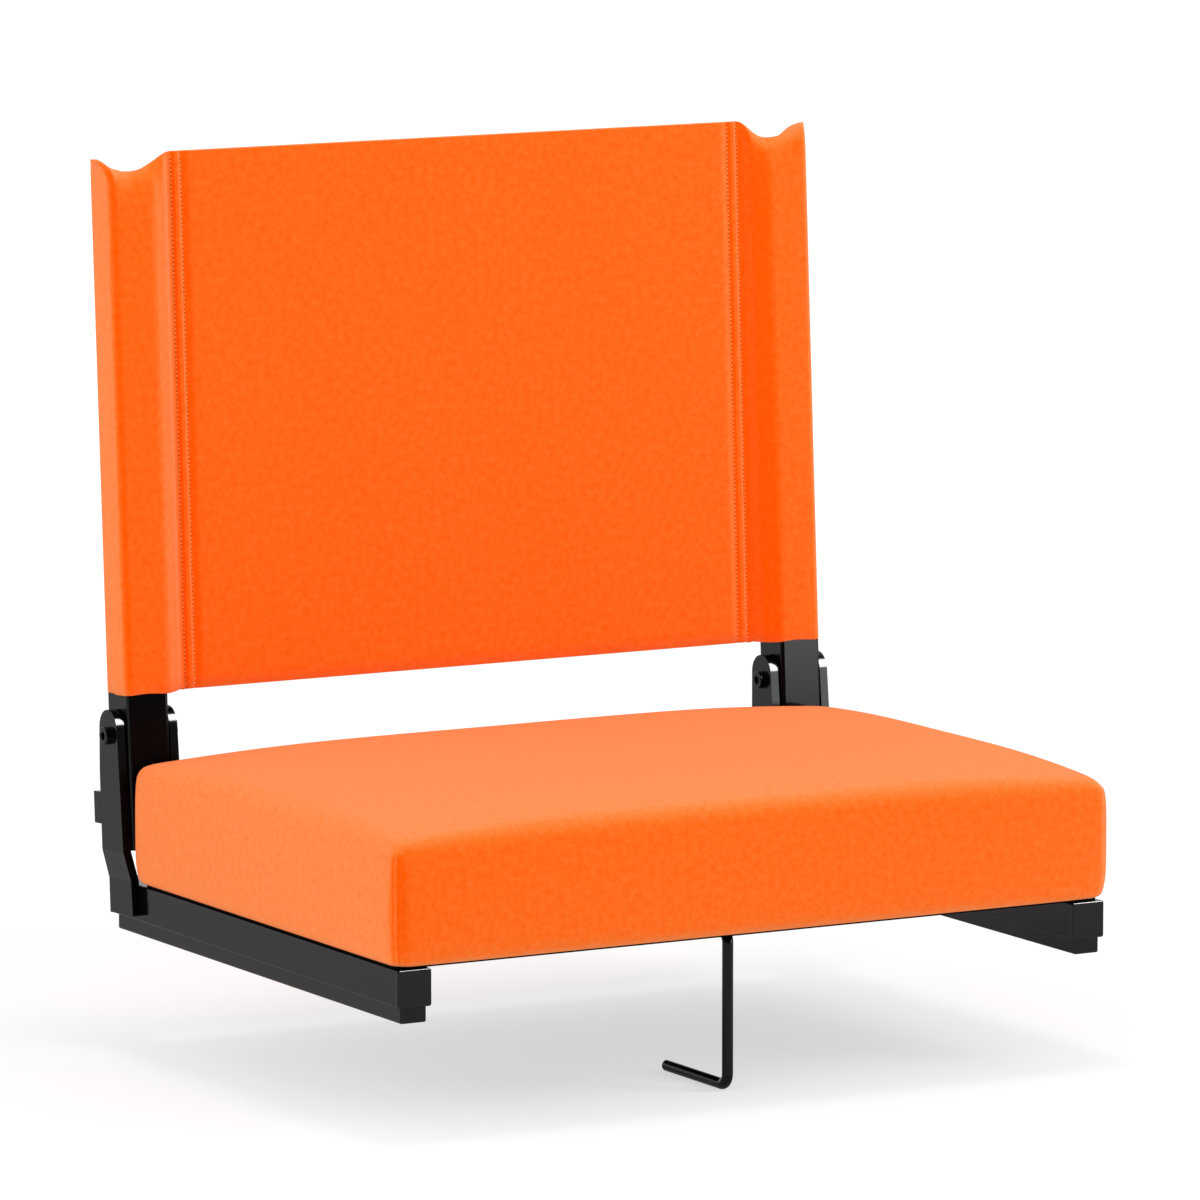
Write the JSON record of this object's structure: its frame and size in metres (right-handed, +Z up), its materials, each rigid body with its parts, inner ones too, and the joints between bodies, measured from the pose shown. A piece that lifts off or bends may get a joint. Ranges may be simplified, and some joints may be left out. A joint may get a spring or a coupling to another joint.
{
  "type": "folding bleacher seat",
  "caption": "Folding seat for a stadium bench: padded cushion on tube rails with grip strips, cloth sling back that folds forward, and a swinging hook under the bench.",
  "frame": {"origin": "middle of the bench plane: half way between the two rails and half way along them, level with the underside of the grip strips; the hook reaches below it", "axes": "+X to the right as seen from the front, +Y towards the backrest, +Z up"},
  "size_m": [0.4556, 0.3478, 0.4861],
  "materials": {
    "orange_cloth": "plain-woven coated polyester cloth, orange",
    "black_coat": "black satin powder coat on steel",
    "black_plastic": "moulded black plastic",
    "black_rubber": "black rubber, matt",
    "black_hardware": "black button-head fittings",
    "nylon": "dark nylon",
    "plywood": "bare plywood",
    "foam": "open-cell foam block",
    "black_sheet": "thin black plastic sheet",
    "zinc_steel": "zinc-plated steel"
  },
  "bodies": {
    "seat_frame": {"rail_left": "black_coat", "rail_right": "black_coat", "rail_end_plugs": "black_plastic", "grip_strip_left": "black_rubber", "grip_strip_right": "black_rubber", "hinge_plate_left_outer": "black_coat", "hinge_plate_left_inner": "black_coat", "hinge_plate_right_inner": "black_coat", "hinge_plate_right_outer": "black_coat", "pivot_barrels": "black_hardware", "pivot_screws": "black_hardware", "pivot_washers": "nylon", "seat_board": "plywood", "seat_foam": "foam", "seat_cover": "orange_cloth", "base_sheet": "black_sheet", "cover_staples": "zinc_steel", "board_screws": "zinc_steel", "hook_clips": "black_plastic", "clip_screws": "zinc_steel"},
    "backrest": {"post_left": "black_coat", "post_right": "black_coat", "post_top_caps": "black_plastic", "post_bottom_caps": "black_plastic", "pivot_bushes": "nylon", "stop_bar": "black_coat", "back_sling": "orange_cloth"},
    "bench_hook": {"hook_rod": "black_coat", "hook_collars": "black_plastic"}
  },
  "joints": [
    {"name": "backrest_fold", "type": "hinge", "parent": "seat_frame", "child": "backrest", "pos_m": [0, 0.153, 0.109], "axis": [1, 0, 0], "range_deg": [0, 86]},
    {"name": "hook_swing", "type": "hinge", "parent": "seat_frame", "child": "bench_hook", "pos_m": [0, -0.1315, 0.0244], "axis": [0, 1, 0], "range_deg": [-90, 90]}
  ]
}
